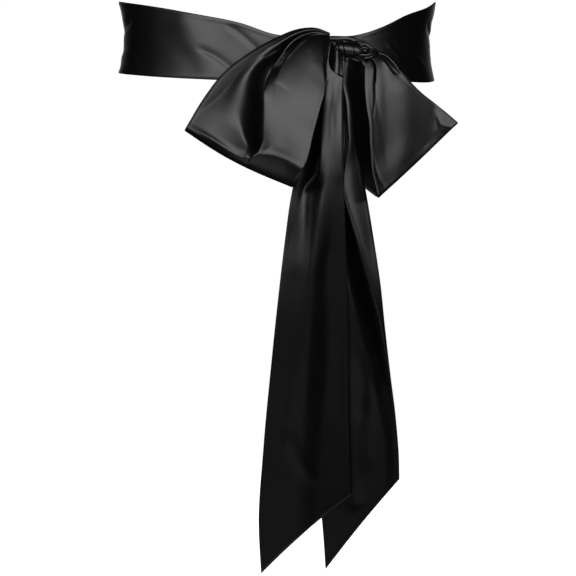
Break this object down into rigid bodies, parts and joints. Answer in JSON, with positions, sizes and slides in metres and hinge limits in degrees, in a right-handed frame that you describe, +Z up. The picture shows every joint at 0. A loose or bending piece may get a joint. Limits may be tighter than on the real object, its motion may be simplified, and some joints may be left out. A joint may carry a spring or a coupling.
{
  "type": "satin sash",
  "caption": "Satin waist sash as worn: a folded band round an open waist, tied at the front in a drooping bow with long slant-cut tails.",
  "frame": {"origin": "middle of the waist that the band is tied round, level with the middle of the band", "axes": "+Z up along the wearer's body, -Y to the wearer's front, +X to the wearer's left"},
  "size_m": [0.2679, 0.2313, 0.4439],
  "materials": {
    "black_satin": "satin weave with a soft sheen"
  },
  "bodies": {
    "root": {"waist_band": "black_satin", "loop_left": "black_satin", "loop_right": "black_satin", "tail_front": "black_satin", "tail_back": "black_satin", "knot_wrap": "black_satin", "knot_core": "black_satin"}
  },
  "joints": []
}
